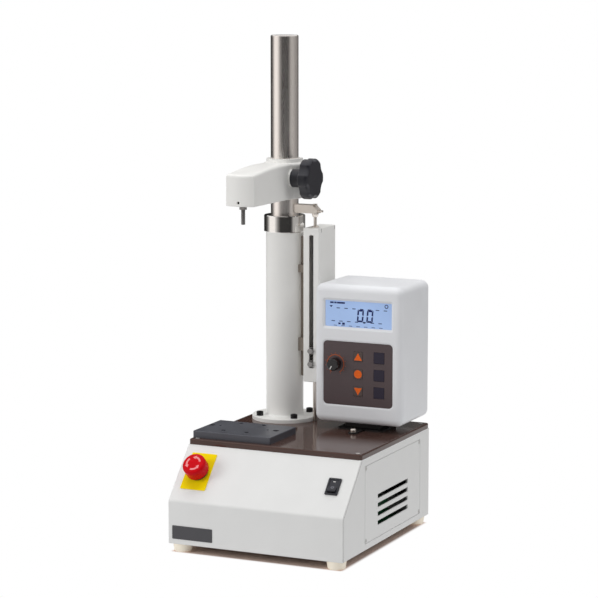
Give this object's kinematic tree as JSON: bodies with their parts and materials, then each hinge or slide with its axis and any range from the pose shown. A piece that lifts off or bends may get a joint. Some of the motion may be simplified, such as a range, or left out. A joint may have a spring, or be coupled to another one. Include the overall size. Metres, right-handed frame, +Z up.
{
  "type": "bench-top motorised test stand",
  "caption": "Bench-top universal testing machine: motor-driven column with clamped arm and stud over a test table, limit stops, sloped base with emergency stop, and a keypad controller.",
  "frame": {"origin": "centre of the base footprint at the underside of the rubber feet", "axes": "+Z up along the column, +X to the right seen from the front, -Y towards the operator"},
  "size_m": [0.262, 0.308, 0.7015],
  "materials": {
    "casing_paint": "satin",
    "tray_zinc": "satin",
    "brown_plate": "gloss",
    "table_grey": "satin",
    "ivory_rubber": "matte",
    "white_paint": "satin",
    "steel_column": "polished",
    "collar_chrome": "polished",
    "nickel": "satin",
    "black_oxide": "satin",
    "bronze": "satin",
    "alloy": "satin",
    "motor_black": "satin",
    "belt_rubber": "matte",
    "board_green": "satin",
    "black_plastic": "satin",
    "stand_black": "satin",
    "estop_red": "gloss",
    "stem_white": "satin",
    "legend_yellow": "satin",
    "controller_white": "satin",
    "display_blue": "gloss",
    "keypad_brown": "satin",
    "arrow_key": "satin",
    "function_key": "satin"
  },
  "bodies": {
    "frame": {"rubber_feet": "ivory_rubber", "chassis_tray": "tray_zinc", "front_panel": "casing_paint", "side_wall_left": "casing_paint", "side_wall_right": "casing_paint", "side_panel_left": "casing_paint", "side_panel_right": "casing_paint", "rear_wall": "casing_paint", "cover_screws": "black_oxide", "power_inlet": "black_plastic", "top_plate": "brown_plate", "test_table": "table_grey", "table_screws": "black_oxide", "outer_column": "white_paint", "flange_bolts": "black_oxide", "column_collar": "collar_chrome", "bearing_housing": "alloy", "screw_bearings": "black_oxide", "motor_body": "motor_black", "drive_belt": "belt_rubber", "drive_electronics": "board_green", "limit_housing": "white_paint", "limit_cover": "white_paint", "limit_brackets": "white_paint", "estop_legend": "legend_yellow", "estop_body": "black_plastic", "rocker_frame": "black_plastic", "controller_case": "controller_white", "controller_back": "controller_white", "display_module": "display_blue", "keypad_overlay": "keypad_brown", "controller_board": "board_green", "controller_stand": "stand_black", "stand_screws": "nickel"},
    "column": {"inner_column": "steel_column", "drive_nut": "bronze", "striker_arm": "nickel", "limit_rod": "nickel"},
    "arm": {"arm_casting": "white_paint", "clamp_cotters": "bronze", "test_stud": "nickel", "stud_nut": "nickel"},
    "knob": {"clamp_knob": "black_plastic", "clamp_screw": "nickel"},
    "screw": {"lead_screw": "nickel", "screw_pulley": "alloy"},
    "rotor": {"motor_shaft": "nickel", "motor_pulley": "alloy"},
    "estop_stem": {"estop_plunger": "stem_white"},
    "estop_button": {"estop_head": "estop_red"},
    "rocker": {"rocker_paddle": "black_plastic"},
    "dial": {"speed_dial": "black_plastic"},
    "stop_high": {"upper_stop": "nickel"},
    "stop_low": {"lower_stop": "nickel"},
    "key_up": {"up_key": "arrow_key"},
    "key_stop": {"stop_key": "arrow_key"},
    "key_down": {"down_key": "arrow_key"},
    "key_mode": {"mode_key": "function_key"},
    "key_zero": {"zero_key": "function_key"},
    "key_set": {"set_key": "function_key"}
  },
  "joints": [
    {"name": "column_lift", "type": "slide", "parent": "frame", "child": "column", "axis": [0, 0, 1], "range_m": [0, 0.15]},
    {"name": "screw_spin", "type": "hinge", "parent": "frame", "child": "screw", "pos_m": [-0.074, 0.1015, 0.1], "axis": [0, 0, 1], "range_deg": [-10801, 0]},
    {"name": "motor_spin", "type": "hinge", "parent": "frame", "child": "rotor", "pos_m": [-0.074, 0.0115, 0.04], "axis": [0, 0, 1], "range_deg": [-21602, 0]},
    {"name": "arm_height", "type": "slide", "parent": "column", "child": "arm", "axis": [0, 0, 1], "range_m": [-0.007, 0.17]},
    {"name": "knob_turn", "type": "hinge", "parent": "arm", "child": "knob", "pos_m": [-0.04, 0.077, 0.4999], "axis": [1, 0, 0], "range_deg": [0, 270]},
    {"name": "estop_press", "type": "slide", "parent": "frame", "child": "estop_stem", "axis": [0, 0.7365, -0.6765], "range_m": [0, 0.004], "stiffness_N_per_m": 2000},
    {"name": "estop_twist", "type": "hinge", "parent": "estop_stem", "child": "estop_button", "pos_m": [-0.101, -0.12051, 0.10796], "axis": [0, -0.7365, 0.6765], "range_deg": [-45, 0], "stiffness_Nm_per_rad": 0.05},
    {"name": "rocker_tilt", "type": "hinge", "parent": "frame", "child": "rocker", "pos_m": [0.103, -0.122, 0.10634], "axis": [1, 0, 0], "range_deg": [0, 24]},
    {"name": "dial_turn", "type": "hinge", "parent": "frame", "child": "dial", "pos_m": [0.02805, 0.052, 0.2413], "axis": [0, 1, 0], "range_deg": [0, 270]},
    {"name": "upper_stop_slide", "type": "slide", "parent": "frame", "child": "stop_high", "axis": [0, 0, 1], "range_m": [0, 0.155]},
    {"name": "lower_stop_slide", "type": "slide", "parent": "frame", "child": "stop_low", "axis": [0, 0, 1], "range_m": [0, 0.008]},
    {"name": "up_key_press", "type": "slide", "parent": "frame", "child": "key_up", "axis": [0, 1, 0], "range_m": [0, 0.0008], "stiffness_N_per_m": 800},
    {"name": "stop_key_press", "type": "slide", "parent": "frame", "child": "key_stop", "axis": [0, 1, 0], "range_m": [0, 0.0008], "stiffness_N_per_m": 800},
    {"name": "down_key_press", "type": "slide", "parent": "frame", "child": "key_down", "axis": [0, 1, 0], "range_m": [0, 0.0008], "stiffness_N_per_m": 800},
    {"name": "mode_key_press", "type": "slide", "parent": "frame", "child": "key_mode", "axis": [0, 1, 0], "range_m": [0, 0.0008], "stiffness_N_per_m": 800},
    {"name": "zero_key_press", "type": "slide", "parent": "frame", "child": "key_zero", "axis": [0, 1, 0], "range_m": [0, 0.0008], "stiffness_N_per_m": 800},
    {"name": "set_key_press", "type": "slide", "parent": "frame", "child": "key_set", "axis": [0, 1, 0], "range_m": [0, 0.0008], "stiffness_N_per_m": 800}
  ],
  "couplings": [
    {"joint": "screw_spin", "follows": "column_lift", "rad_per_m": -1256.6},
    {"joint": "motor_spin", "follows": "column_lift", "rad_per_m": -2513.3}
  ]
}
